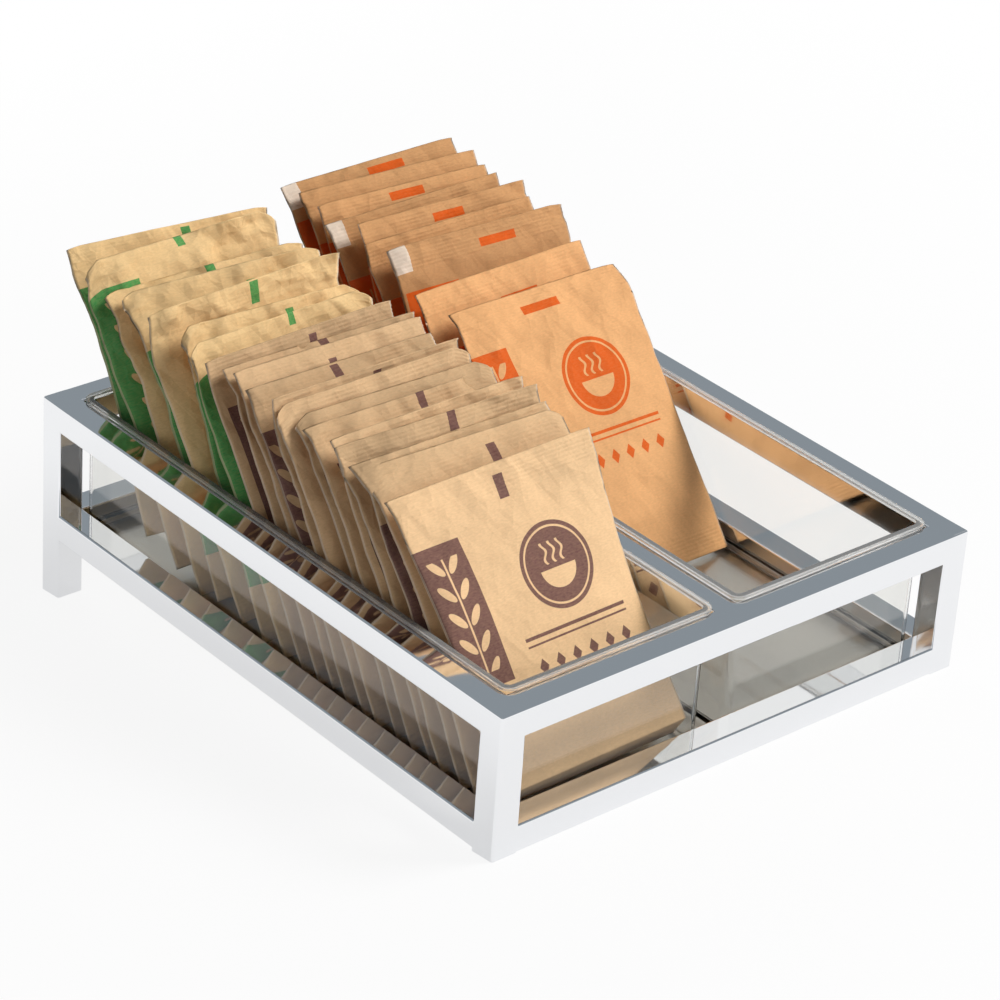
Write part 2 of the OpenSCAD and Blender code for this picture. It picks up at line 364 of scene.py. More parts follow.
def clear_acrylic(name, colour, clearness):
    """Moulded clear acrylic: glassy, with a faint rub haze; lamps and soft light pass it unbent. Made less
    clear, as on a lip edge, part of its tint shows as milky white: a painted glow standing in for the light
    that the edge gathers from all through the wall."""
    rub_size, haziest = 22 * MM, 0.05
    material, tree, output = new_material(name)
    place = add(tree, "ShaderNodeTexCoord").outputs["Object"]
    rub = add(tree, "ShaderNodeTexNoise", named={"Vector": place, "Scale": 1 / rub_size, "Detail": 5})
    rough = add(tree, "ShaderNodeMapRange", rub, 0.4, 0.8, 0.0, haziest)
    acrylic = add(tree, "ShaderNodeBsdfPrincipled", named={
        "Base Color": (*colour, 1), "Roughness": rough, "IOR": 1.49, "Transmission Weight": clearness})
    clear = add(tree, "ShaderNodeBsdfTransparent", (*colour, 1))
    path = add(tree, "ShaderNodeLightPath").outputs
    unbent = add(tree, MATH, path["Is Shadow Ray"], path["Is Diffuse Ray"], operation="MAXIMUM")
    mixed = add(tree, "ShaderNodeMixShader", unbent, acrylic, clear)
    tree.links.new(mixed.outputs[0], output.inputs[0])
    return material


def printed_box(tree, x, y, centre, half):
    """Mask of a printed rectangle."""
    inside = []
    for axis, middle, reach in zip((x, y), centre, half):
        off = add(tree, MATH, axis, middle, operation="SUBTRACT")
        off = add(tree, MATH, off, operation="ABSOLUTE")
        inside.append(add(tree, MATH, off, reach, operation="LESS_THAN"))
    return add(tree, MATH, *inside, operation="MULTIPLY")


def printed_ellipse(tree, x, y, centre, half, turn=0.0):
    """Mask of a printed ellipse, turned about its centre."""
    dx = add(tree, MATH, x, centre[0], operation="SUBTRACT")
    dy = add(tree, MATH, y, centre[1], operation="SUBTRACT")
    squares = []
    for angle, reach in zip((turn, turn + math.pi / 2), half):
        part = add(tree, MATH, dy, math.sin(angle) / reach, operation="MULTIPLY")
        along = add(tree, MATH, dx, math.cos(angle) / reach, part, operation="MULTIPLY_ADD")
        squares.append(add(tree, MATH, along, along, operation="MULTIPLY"))
    total = add(tree, MATH, *squares, operation="ADD")
    return add(tree, MATH, total, 1.0, operation="LESS_THAN")


def either(tree, *masks):
    """Mask of all these together."""
    joined = masks[0]
    for mask in masks[1:]:
        joined = add(tree, MATH, joined, mask, operation="MAXIMUM")
    return joined


def without(tree, mask, cut):
    """A mask with another cut out of it."""
    kept = add(tree, MATH, 1.0, cut, operation="SUBTRACT")
    return add(tree, MATH, mask, kept, operation="MULTIPLY")


def packet_print(tree, x, y, length, strip_reach, mark_half, bare_side):
    """Mask of a packet's ink, with all sizes in mm. x runs from the front's left edge to its right one, y
    up from the foot. A strip by the left edge, left out on a bare side, holds an ear of oats; its reach
    says where it starts off that edge and how far below the top it ends. A bowl sits in a disc on the
    right, and rules, a row of diamonds and a press mark on the top seal go with them."""
    strip_start, strip_end = strip_reach[0], 25
    strip_foot, strip_top = length - strip_reach[1], length - 22
    strip_mid = (strip_foot + strip_top) / 2
    strip_half = (strip_top - strip_foot) / 2
    strip = printed_box(
        tree, x, y, ((strip_start + strip_end) / 2, strip_mid), ((strip_end - strip_start) / 2, strip_half))
    ear_x, ear_half, stalk_half = 14, (9, strip_half - 6), 0.45
    grain_pitch, grain_at, grain_half, grain_turn = 11, (4.2, 6.2), (4.6, 1.7), math.radians(52)
    side = add(tree, MATH, x, ear_x, operation="SUBTRACT")
    side = add(tree, MATH, side, operation="ABSOLUTE")
    rung = add(tree, MATH, y, grain_pitch, operation="MODULO")
    ear = either(
        tree,
        printed_ellipse(tree, side, rung, grain_at, grain_half, grain_turn),
        printed_box(tree, side, y, (0, strip_mid), (stalk_half, ear_half[1])))
    inner = printed_box(tree, x, y, (ear_x, strip_mid), ear_half)
    ear = add(tree, MATH, ear, inner, operation="MULTIPLY")
    disc_x, disc_y = 64, length - 46
    disc_radius, ring_outside, ring_inside = 18, 16.2, 15.3
    disc, outside, inside = [
        printed_ellipse(tree, x, y, (disc_x, disc_y), (radius, radius))
        for radius in (disc_radius, ring_outside, ring_inside)]
    ring = without(tree, outside, inside)
    brim_y, bowl_half, cut_half = disc_y - 1, (9, 8.5), 5
    bowl = add(
        tree, MATH,
        printed_ellipse(tree, x, y, (disc_x, brim_y), bowl_half),
        printed_box(tree, x, y, (disc_x, brim_y - cut_half), (bowl_half[0], cut_half)),
        operation="MULTIPLY")
    steam_y, steam_half, steam_pitch = disc_y + 5.5, (0.6, 4.5), 4
    wave_length, wave_height = 7, 0.9
    sway = add(tree, MATH, y, 2 * math.pi / wave_length, operation="MULTIPLY")
    sway = add(tree, MATH, sway, operation="SINE")
    steam_x = add(tree, MATH, sway, wave_height, x, operation="MULTIPLY_ADD")
    steam = [
        printed_box(tree, steam_x, y, (disc_x + wisp * steam_pitch, steam_y), steam_half)
        for wisp in (-1, 0, 1)]
    disc = without(tree, disc, either(tree, ring, bowl, *steam))
    band_x, band_half = 63, 27
    rules = [
        printed_box(tree, x, y, (band_x, rule_y), (band_half, rule_half))
        for rule_y, rule_half in ((66, 0.7), (63, 0.4))]
    gem_pitch, gem_y, gem_height, gem_steepness, row_half = 9, 54, 3.4, 1.4, 5
    gem_x = add(tree, MATH, x, gem_pitch, operation="MODULO")
    gem_x = add(tree, MATH, gem_x, gem_pitch / 2, operation="SUBTRACT")
    gem_x = add(tree, MATH, gem_x, operation="ABSOLUTE")
    gem_dy = add(tree, MATH, y, gem_y, operation="SUBTRACT")
    gem_dy = add(tree, MATH, gem_dy, operation="ABSOLUTE")
    gem = add(tree, MATH, gem_x, gem_steepness, gem_dy, operation="MULTIPLY_ADD")
    gem = add(tree, MATH, gem, gem_height, operation="LESS_THAN")
    row = printed_box(tree, x, y, (band_x, gem_y), (band_half, row_half))
    gems = add(tree, MATH, gem, row, operation="MULTIPLY")
    mark_x, mark_y = 52, length - 9
    mark = printed_box(tree, x, y, (mark_x, mark_y), mark_half)
    strip = without(tree, strip, either(tree, ear, bare_side))
    return either(tree, strip, disc, *rules, gems, mark)


def printed_kraft(name, kraft, ink, width, length, strip_reach, mark_half, creased):
    """Machine-finished kraft paper, flexo-printed: matt tan fibres with pale cut edges, fine creases that
    grow towards the top, and ink that dulls it a little. Each packet's attributes move its print, bare a
    corner or its strip, and make its paper lighter or darker, at random and on some packets as painted
    shade or painted light. Width and length are in mm."""
    # Fibres are some 0.05 mm wide; they are drawn at 0.7 mm so that they show
    fibre_width, fibre_height, cloud_size = 0.7, 0.1 * MM, 30 * MM
    bare_kraft, bare_half, edge_width, edge_share = linear("#EFE2D2"), (9, 12), 0.7, 0.45
    plain_rough, inked_rough = 0.78, 0.6
    material, tree, output = new_material(name)
    place = add(tree, "ShaderNodeTexCoord")
    flat = add(tree, "ShaderNodeSeparateXYZ", place.outputs["UV"])
    x = add(tree, MATH, flat.outputs[0], 2 * width, operation="MULTIPLY")
    y = add(tree, MATH, flat.outputs[1], length, operation="MULTIPLY")
    own = {
        look: add(tree, "ShaderNodeAttribute", attribute_name=look).outputs["Fac"] for look in OWN_LOOKS}
    # The back's left part goes on from the front's left edge, so that a strip can wrap that edge
    wrapped = add(tree, MATH, x, 1.5 * width, -0.5 * width, operation="WRAP")
    pressed_x = add(tree, MATH, wrapped, own["press_drift"], operation="ADD")
    pressed_y = add(tree, MATH, y, own["press_rise"], operation="ADD")
    printed = packet_print(
        tree, pressed_x, pressed_y, length, strip_reach, mark_half, own["bare_side"])
    lay = add(tree, "ShaderNodeCombineXYZ", x, y)
    along = add(tree, "ShaderNodeMapping", lay, named={"Scale": (0.4, 1, 1)})
    fibres = add(tree, "ShaderNodeTexNoise", named={"Vector": along, "Scale": 1 / fibre_width, "Detail": 3})
    clouds = add(tree, "ShaderNodeTexNoise", named={
        "Vector": place.outputs["Object"], "Scale": 1 / cloud_size, "Detail": 3})
    mottle = add(tree, MATH, fibres, clouds, operation="ADD")
    shade = add(tree, "ShaderNodeMapRange", mottle, 0.6, 1.5, 1.04, 0.78)
    # Lighter or darker per packet: at random, and on some packets painted shade or painted light
    shade = add(tree, MATH, shade, own["tone"], operation="MULTIPLY")
    paper = add(tree, "ShaderNodeHueSaturation", named={"Value": shade, "Color": (*kraft, 1)})
    pale = printed_box(tree, x, y, (0, length), bare_half)
    pale = add(tree, MATH, pale, own["bare_corner"], operation="MULTIPLY")
    side = add(tree, MATH, x, width / 2, operation="PINGPONG")
    edge = add(tree, MATH, side, edge_width, operation="LESS_THAN")
    edge = add(tree, MATH, edge, edge_share, operation="MULTIPLY")
    pale = add(tree, MATH, pale, edge, operation="MAXIMUM")
    paper = add(tree, "ShaderNodeMix", pale, data_type="RGBA", named={
        MIX_FROM: paper, MIX_TO: (*bare_kraft, 1)})
    worn = add(tree, "ShaderNodeMapRange", fibres, 0.3, 0.7, 0.99, 0.84)
    inked = add(tree, MATH, without(tree, printed, pale), worn, operation="MULTIPLY")
    colour = add(tree, "ShaderNodeMix", inked, data_type="RGBA", named={
        MIX_FROM: paper.outputs[MIXED], MIX_TO: (*ink, 1)})
    rough = add(tree, "ShaderNodeMapRange", inked, 0.0, 1.0, plain_rough, inked_rough)
    loose = add(tree, "ShaderNodeMapRange", y, 0.2 * length, 0.9 * length, 0.4 * creased, creased)
    bump = add(tree, "ShaderNodeBump", named={
        "Height": fibres, "Strength": 0.2, "Distance": fibre_height})
    for fold, turned in ((19 * MM, 0.6), (8 * MM, 2.0)):
        slanted = add(
            tree, "ShaderNodeVectorRotate", place.outputs["Object"], rotation_type="EULER_XYZ",
            named={"Rotation": (turned, 0.5, turned)})
        facets = add(tree, "ShaderNodeTexVoronoi", distance="MANHATTAN", named={
            "Vector": slanted, "Scale": 1 / fold})
        height = add(tree, MATH, facets.outputs["Distance"], loose, operation="MULTIPLY")
        bump = add(tree, "ShaderNodeBump", named={
            "Height": height, "Strength": 1, "Distance": 0.18 * fold, "Normal": bump})
    sheet = add(tree, "ShaderNodeBsdfPrincipled", named={
        "Base Color": colour.outputs[MIXED], "Roughness": rough, "IOR": 1.48, "Normal": bump})
    tree.links.new(sheet.outputs[0], output.inputs[0])
    return material


# Pieces

def finished_piece(name, mesh, material, node):
    """Puts a finished mesh in the scene in place of a CAD node, on that node's body. With no material
    given, the mesh keeps its own."""
    piece = bpy.data.objects.new(name, mesh)
    bpy.context.scene.collection.objects.link(piece)
    if material is not None:
        mesh.materials.clear()
        mesh.materials.append(material)
    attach(piece, frame["nodes"][node]["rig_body"])
    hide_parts(node)
    return piece


def plain_mesh(bm, name):
    """A finished mesh of this form, which is freed. The edges of its flat faces are sharp, or the round
    faces beside them would bend what they mirror."""
    for edge in bm.edges:
        edge.smooth = all(face.smooth for face in edge.link_faces)
    mesh = bpy.data.meshes.new(name)
    bm.to_mesh(mesh)
    bm.free()
    return mesh


# Cells of the frame's grid across, along and up, the one across that holds the centre rail, and the levels
# of the bottom and top rails
CELLS = (5, 3, 4)
CENTRE_CELL, BOTTOM_LEVEL, TOP_LEVEL = 2, 1, 3
# How nearly a face has to look one way to count as square to it
SQUARE_TO = 0.99


def frame_planes():
    """The planes between tubes and openings across, along and up the frame, and a level under the feet."""
    low, high = upright_box("front_top_rail")
    tube = high.z - low.z
    back = upright_box("back_top_rail")[1].y
    bottom = upright_box("front_bottom_rail")[0].z
    below = min(upright_box(leg)[0].z for leg in LEGS) - tube
    xs = [low.x, low.x + tube, -tube / 2, tube / 2, high.x - tube, high.x]
    ys = [low.y, low.y + tube, back - tube, back]
    zs = [below, bottom, bottom + tube, high.z - tube, high.z]
    return xs, ys, zs


def holds_tube(i, j, k):
    """True for the cells of the frame's grid that are tube: posts, bottom rails and top rails."""
    if not all(0 <= cell < count for cell, count in zip((i, j, k), CELLS)):
        return False
    side, end = i in (0, CELLS[0] - 1), j in (0, CELLS[1] - 1)
    if k == BOTTOM_LEVEL:
        return side or end
    if k == TOP_LEVEL:
        return side or end or i == CENTRE_CELL
    return side and end


def welded_frame(edge_radius):
    """All tubes as one skin with no seams, its outer edges rounded, in the frame's own axes."""
    xs, ys, zs = frame_planes()
    bm = bmesh.new()
    verts = {}
    cells = [cell for cell in np.ndindex(*CELLS) if holds_tube(*cell)]
    for cell in cells:
        for axis in range(3):
            for step in (0, 1):
                beside = list(cell)
                beside[axis] += 1 if step else -1
                if holds_tube(*beside):
                    continue
                ring = [(0, 0), (1, 0), (1, 1), (0, 1)]
                corners = []
                for a, b in ring if step else reversed(ring):
                    corner = list(cell)
                    corner[axis] += step
                    corner[(axis + 1) % 3] += a
                    corner[(axis + 2) % 3] += b
                    key = tuple(corner)
                    if key not in verts:
                        verts[key] = bm.verts.new((xs[key[0]], ys[key[1]], zs[key[2]]))
                    corners.append(verts[key])
                bm.faces.new(corners)
    bm.normal_update()
    least_angle = 1.0
    outer = [e for e in bm.edges if e.is_convex and e.calc_face_angle() > least_angle]
    bmesh.ops.bevel(bm, geom=outer, offset=edge_radius, segments=3, profile=0.5, affect="EDGES")
    bm.normal_update()
    return bm


def end_planes(node):
    """The outer planes of a CAD tube in the frame's own axes, as points and outward normals."""
    near = 0.02 * MM
    mesh = frame["nodes"][node].data
    points = node_points(node, UPRIGHT)
    planes = {}
    for face in mesh.polygons:
        normal = UPRIGHT.to_3x3() @ face.normal
        origin = UPRIGHT @ mesh.vertices[face.vertices[0]].co
        if ((points - np.array(origin)) @ np.array(normal)).max() < near:
            planes[tuple(round(c, 3) for c in normal)] = (origin, normal)
    return list(planes.values())


def cut_to(bm, origin, normal):
    """Cuts a closed skin at a plane, drops what lies outside and closes the cut."""
    snap = 0.004 * MM
    everything = bm.verts[:] + bm.edges[:] + bm.faces[:]
    bmesh.ops.bisect_plane(
        bm, geom=everything, dist=snap, plane_co=origin, plane_no=normal, clear_outer=True)
    bm.normal_update()
    back_faces = [
        f for f in bm.faces if f.normal.dot(normal) < -SQUARE_TO
        and all(abs((v.co - origin).dot(normal)) < 2 * snap for v in f.verts)]
    bmesh.ops.delete(bm, geom=back_faces, context="FACES")
    rim = [e for e in bm.edges if e.is_boundary]
    bmesh.ops.holes_fill(bm, edges=rim, sides=0)
    bm.normal_update()


def open_leg_end(bm, wall, depth):
    """Sinks the foot plug's square hole into a leg's level end."""
    down = UPRIGHT.to_3x3() @ Vector((0, 0, -1))
    bm.normal_update()
    end = min(bm.faces, key=lambda f: (TIPPED @ f.calc_center_median()).z)
    bmesh.ops.inset_individual(bm, faces=[end], thickness=wall, use_even_offset=True)
    sunk = bmesh.ops.extrude_discrete_faces(bm, faces=[end])["faces"]
    bmesh.ops.translate(bm, vec=-down * depth, verts=sunk[0].verts[:])


class HOLDER_OT_frame(bpy.types.Operator):
    """Makes the polished tubes, each cut from one seamless welded frame"""
    bl_idname = "holder.frame"
    bl_label = "Polished frame"

    def execute(self, context):
        looks = context.scene.holder_frame
        steel = polished_stainless(looks.steel)
        whole = welded_frame(looks.edge_radius)
        for node in TUBES:
            bm = whole.copy()
            for origin, normal in end_planes(node):
                cut_to(bm, origin, normal)
            if node in LEGS:
                open_leg_end(bm, looks.tube_wall, looks.plug_recess)
            open_edges = [e for e in bm.edges if not e.is_manifold]
            if open_edges:
                raise RuntimeError(f"{node} is not closed: {len(open_edges)} open edges")
            for face in bm.faces:
                face.smooth = max(abs(c) for c in face.normal) < SQUARE_TO
            bm.transform(TIPPED)
            name = node + "_polished"
            finished_piece(name, plain_mesh(bm, name), steel, node)
        whole.free()
        return {"FINISHED"}


class HOLDER_OT_base(bpy.types.Operator):
    """Finishes the sheet floor and the foot plugs"""
    bl_idname = "holder.base"
    bl_label = "Sheet floor and feet"

    def execute(self, context):
        looks = context.scene.holder_frame
        finishes = {"floor_sheet": satin_sheet(looks.sheet)}
        finishes.update(dict.fromkeys(FEET, moulded_nylon(looks.nylon)))
        for node, finish in finishes.items():
            mesh = frame["nodes"][node].data
            mesh.materials.clear()
            mesh.materials.append(finish)
        return {"FINISHED"}


def held_flat(points, long=10 * MM, reach=0.3 * MM):
    """An outline's points with two more near the ends of each long stretch, which keep the shading of the
    round stretches beside it from bending it."""
    held = [points[0]]
    for start, end in zip(points, points[1:]):
        length = math.dist(start, end)
        if length > long:
            for share in (reach / length, 1 - reach / length):
                held.append(tuple(a + (b - a) * share for a, b in zip(start, end)))
        held.append(end)
    return held


def round_ring(centre, half_x, half_y, radius, steps=8):
    """Points round an upright-cornered rectangle with round corners, counterclockwise."""
    points = []
    for quarter, (sx, sy) in enumerate([(1, 1), (-1, 1), (-1, -1), (1, -1)]):
        for step in range(steps + 1):
            angle = (quarter + step / steps) * math.pi / 2
            points.append((
                centre[0] + sx * (half_x - radius) + radius * math.cos(angle),
                centre[1] + sy * (half_y - radius) + radius * math.sin(angle)))
    return points


def arc(centre, radius, start, end, steps=4):
    """Points on an arc of a tray's section, from one angle to another in degrees."""
    angles = [math.radians(start + (end - start) * i / steps) for i in range(steps + 1)]
    return [(centre[0] + radius * math.cos(a), centre[1] + radius * math.sin(a)) for a in angles]


def tray_section(looks, low, high):
    """Half a tray's section, from under its bottom over the lip to the inside: distance out from
    the outer wall, and height."""
    heel, cove, under = 1.5 * MM, 2 * MM, 0.6 * MM
    rim = high - looks.lip
    edge, out, wall = looks.edge, looks.overhang, looks.wall
    return [
        *arc((-heel, low + heel), heel, -90, 0),
        *arc((under, rim - under), under, 180, 90),
        *arc((out - edge, rim + edge), edge, -90, 0),
        *arc((out - edge, high - edge), edge, 0, 90),
        *arc((edge - wall, high - edge), edge, 90, 180),
        *arc((-wall - cove, low + looks.bottom + cove), cove, 0, -90),
    ]


def tray_mesh(node, looks):
    """A clear tray's closed shell, in the part's frame."""
    low, high = upright_box(node)
    centre = ((low.x + high.x) / 2, (low.y + high.y) / 2)
    half_x = (high.x - low.x) / 2 - looks.overhang
    half_y = (high.y - low.y) / 2 - looks.overhang
    least_radius = 0.4 * MM
    bm = bmesh.new()
    rings = []
    for out, z in held_flat(tray_section(looks, low.z, high.z)):
        radius = max(looks.corner + out, least_radius)
        ring = round_ring(centre, half_x + out, half_y + out, radius)
        ring = held_flat([*ring, ring[0]])[:-1]
        rings.append([bm.verts.new((x, y, z)) for x, y in ring])
    for lower, upper in zip(rings, rings[1:]):
        for i in range(len(lower)):
            j = (i + 1) % len(lower)
            bm.faces.new((lower[i], lower[j], upper[j], upper[i]))
    bm.faces.new(reversed(rings[0]))
    bm.faces.new(rings[-1])
    for face in bm.faces:
        face.smooth = len(face.verts) == 4
        # Faces of the lip take the second material, whose milky white is a painted glow
        face.material_index = int(min(v.co.z for v in face.verts) > high.z - looks.lip)
    bm.transform(TIPPED)
    bmesh.ops.recalc_face_normals(bm, faces=bm.faces[:])
    return plain_mesh(bm, node + "_acrylic")


class HOLDER_OT_trays(bpy.types.Operator):
    """Makes the clear drop-in trays with their thin rounded lips"""
    bl_idname = "holder.trays"
    bl_label = "Clear trays"

    def execute(self, context):
        looks = context.scene.holder_trays
        acrylic = clear_acrylic("moulded_clear_acrylic", looks.tint, clearness=1.0)
        # The lip's acrylic is less clear: its milky white is a painted glow of light gathered through the
        # wall
        edge = clear_acrylic("polished_acrylic_edge", looks.tint, clearness=0.75)
        for node in TRAYS:
            mesh = tray_mesh(node, looks)
            mesh.materials.append(acrylic)
            mesh.materials.append(edge)
            finished_piece(node + "_acrylic", mesh, None, node)
        return {"FINISHED"}


PACKET_SIZES = [
    "Width", "Length", "Belly", "Crimp Pitch", "Crimp Depth", "Wrinkle", "Crumple", "Ease", "Curl",
    "Cup", "Twist", "Corner", "Fold", "Tuck", "Seed", "Press Drift", "Press Rise", "Tone", "Bare Corner",
    "Bare Side",
]
ACROSS, ALONG = 61, 121
SEAL_SHARE = 0.09


def packet_tree():
    """Geometry Nodes for one packet standing on its foot at the origin: a sheet wrapped into a flat
    bag, swollen between two crimped seals, then rumpled, curled and cupped towards its free end. The
    upper seal may be folded over and the lower one tucked under, each by an angle."""
    drawn_in, crease_share, facet_slant = 0.022, 1.1, math.radians(32)
    wave_size, crease_size, push_size = 42 * MM, 24 * MM, 60 * MM
    weld_gap = 0.01 * MM
    tree = bpy.data.node_groups.new("Kraft packet", "GeometryNodeTree")
    for name in PACKET_SIZES:
        tree.interface.new_socket(name=name, in_out="INPUT", socket_type="NodeSocketFloat")
    tree.interface.new_socket(name="Paper", in_out="INPUT", socket_type="NodeSocketMaterial")
    tree.interface.new_socket(name="Packet", in_out="OUTPUT", socket_type="NodeSocketGeometry")
    size = add(tree, "NodeGroupInput").outputs
    grid = add(tree, "GeometryNodeMeshGrid", 1.0, 1.0, 2 * ACROSS - 1, ALONG)
    flat = add(tree, "ShaderNodeSeparateXYZ", grid.outputs["UV Map"])
    # Round the bag: -1 to 0 is the front from left to right, 0 to 1 the back
    way = add(tree, MATH, flat.outputs[0], 2.0, -1.0, operation="MULTIPLY_ADD")
    turn = add(tree, MATH, way, operation="ABSOLUTE")
    across = add(tree, MATH, turn, -2.0, 1.0, operation="MULTIPLY_ADD")
    off_middle = add(tree, MATH, across, operation="ABSOLUTE")
    # Rows are close together in the seals, where the ribs are
    along = shape_curve(
        add(tree, "ShaderNodeFloatCurve", 1.0, flat.outputs[1]),
        [(0, 0), (0.24, SEAL_SHARE), (0.76, 1 - SEAL_SHARE), (1, 1)], "VECTOR")
    swell = shape_curve(
        add(tree, "ShaderNodeFloatCurve", 1.0, along),
        [(0, 0), (0.004, 0.06), (0.085, 0.07), (0.2, 0.72), (0.34, 1), (0.56, 0.97), (0.74, 0.6),
         (0.9, 0.09), (0.996, 0.06), (1, 0)])
    pillow = shape_curve(
        add(tree, "ShaderNodeFloatCurve", 1.0, off_middle),
        [(0, 1), (0.55, 0.96), (0.8, 0.78), (0.93, 0.45), (1, 0)])
    sealed = shape_curve(
        add(tree, "ShaderNodeFloatCurve", 1.0, along),
        [(0, 1), (0.07, 1), (0.1, 0), (0.88, 0), (0.92, 1), (1, 1)], "VECTOR")
    free = shape_curve(
        add(tree, "ShaderNodeFloatCurve", 1.0, along), [(0, 0), (0.5, 0.0), (0.75, 0.25), (1, 1)])
    slack = shape_curve(
        add(tree, "ShaderNodeFloatCurve", 1.0, along), [(0, 0.1), (0.4, 0.18), (0.7, 0.55), (1, 1)])
    nip = shape_curve(
        add(tree, "ShaderNodeFloatCurve", 1.0, off_middle), [(0, 0), (0.84, 0), (0.9, 0.2), (1, 1)])
    half = add(tree, MATH, size["Width"], 0.5, operation="MULTIPLY")
    draw = add(tree, MATH, swell, -drawn_in, 1.0, operation="MULTIPLY_ADD")
    flat_x = add(tree, MATH, across, half, operation="MULTIPLY")
    flat_z = add(tree, MATH, along, size["Length"], operation="MULTIPLY")
    # Out of the face: the bag's own swell, front and back
    bulge = add(tree, MATH, swell, pillow, operation="MULTIPLY")
    bulge = add(tree, MATH, bulge, size["Belly"], operation="MULTIPLY")
    bulge = add(tree, MATH, bulge, 0.5, operation="MULTIPLY")
    face = add(tree, MATH, way, operation="SIGN")
    shell = add(tree, MATH, bulge, face, operation="MULTIPLY")
    # Ribs of the seals
    rib = add(tree, MATH, flat_z, size["Crimp Pitch"], operation="DIVIDE")
    rib = add(tree, MATH, rib, 2 * math.pi, operation="MULTIPLY")
    rib = add(tree, MATH, rib, operation="SINE")
    rib = add(tree, MATH, rib, sealed, operation="MULTIPLY")
    ribbed = add(tree, MATH, rib, size["Crimp Depth"], shell, operation="MULTIPLY_ADD")
    # Soft waves and sharper creases of handled paper
    spot = add(tree, "ShaderNodeCombineXYZ", flat_x, size["Seed"], flat_z)
    wave = add(tree, "ShaderNodeTexNoise", named={"Vector": spot, "Scale": 1 / wave_size, "Detail": 1})
    crease = add(tree, "ShaderNodeTexNoise", named={
        "Vector": spot, "Scale": 1 / crease_size, "Detail": 2, "Distortion": 0.6})
    wave = add(tree, MATH, wave, 0.5, operation="SUBTRACT")
    crease = add(tree, MATH, crease, 0.5, operation="SUBTRACT")
    crease = add(tree, MATH, crease, operation="ABSOLUTE")
    rumple = add(tree, MATH, crease, -crease_share, wave, operation="MULTIPLY_ADD")
    rumple = add(tree, MATH, rumple, size["Wrinkle"], operation="MULTIPLY")
    # Flat facets between sharp folds, large and small, pressed in or out from place to place
    push = add(tree, "ShaderNodeTexNoise", named={"Vector": spot, "Scale": 1 / push_size, "Detail": 0})
    push = add(tree, "ShaderNodeMapRange", push, 0.35, 0.65, -1.0, 1.0)
    push = add(tree, MATH, push, size["Crumple"], operation="MULTIPLY")
    slanted = add(
        tree, "ShaderNodeVectorRotate", spot, rotation_type="Y_AXIS", named={"Angle": facet_slant})
    for facet_size, share in ((34 * MM, 1.0), (15 * MM, 0.4)):
        facet = add(tree, "ShaderNodeTexVoronoi", distance="MANHATTAN", named={
            "Vector": slanted, "Scale": 1 / facet_size})
        facet = add(tree, MATH, facet.outputs["Distance"], share, -0.6 * share, operation="MULTIPLY_ADD")
        rumple = add(tree, MATH, facet, push, rumple, operation="MULTIPLY_ADD")
    slack = add(tree, MATH, slack, size["Ease"], operation="MAXIMUM")
    rumpled = add(tree, MATH, rumple, slack, ribbed, operation="MULTIPLY_ADD")
    # Curl, cup and twist of the end that stands out of the tray
    squared = add(tree, MATH, across, across, operation="MULTIPLY")
    lean = add(tree, MATH, squared, size["Cup"], size["Curl"], operation="MULTIPLY_ADD")
    lean = add(tree, MATH, across, size["Twist"], lean, operation="MULTIPLY_ADD")
    depth = add(tree, MATH, lean, free, rumpled, operation="MULTIPLY_ADD")
    x = add(tree, MATH, flat_x, draw, operation="MULTIPLY")
    drop = add(tree, MATH, nip, free, operation="MULTIPLY")
    drop = add(tree, MATH, drop, size["Corner"], operation="MULTIPLY")
    z = add(tree, MATH, flat_z, drop, operation="SUBTRACT")
    # A folded upper seal and a tucked lower one turn back about their inner edges
    seal = add(tree, MATH, size["Length"], SEAL_SHARE, operation="MULTIPLY")
    from_top = add(tree, MATH, size["Length"], flat_z, operation="SUBTRACT")
    for angle, from_end, way_in in (("Fold", from_top, -1.0), ("Tuck", flat_z, 1.0)):
        past = add(tree, MATH, seal, from_end, operation="SUBTRACT")
        past = add(tree, MATH, past, 0.0, operation="MAXIMUM")
        back = add(tree, MATH, size[angle], operation="SINE")
        depth = add(tree, MATH, past, back, depth, operation="MULTIPLY_ADD")
        short = add(tree, MATH, size[angle], operation="COSINE")
        short = add(tree, MATH, short, -way_in, way_in, operation="MULTIPLY_ADD")
        z = add(tree, MATH, past, short, z, operation="MULTIPLY_ADD")
    spread = add(tree, "ShaderNodeCombineXYZ", x, depth, z)
    sheet = add(tree, "ShaderNodeCombineXYZ", flat.outputs[0], along)
    kept = add(
        tree, "GeometryNodeStoreNamedAttribute", grid, data_type="FLOAT2", domain="CORNER",
        named={"Name": "UVMap", "Value": sheet})
    for attribute, name in OWN_LOOKS.items():
        kept = add(
            tree, "GeometryNodeStoreNamedAttribute", kept, data_type="FLOAT", domain="POINT",
            named={"Name": attribute, "Value": size[name]})
    bag = add(tree, "GeometryNodeSetPosition", kept, named={"Position": spread})
    bag = add(tree, "GeometryNodeMergeByDistance", bag, named={"Distance": weld_gap})
    bag = add(tree, "GeometryNodeSetShadeSmooth", bag)
    bag = add(tree, "GeometryNodeRealizeInstances", bag)
    bag = add(tree, "GeometryNodeSetMaterial", bag, named={"Material": size["Paper"]})
    add(tree, "NodeGroupOutput", bag)
    return tree


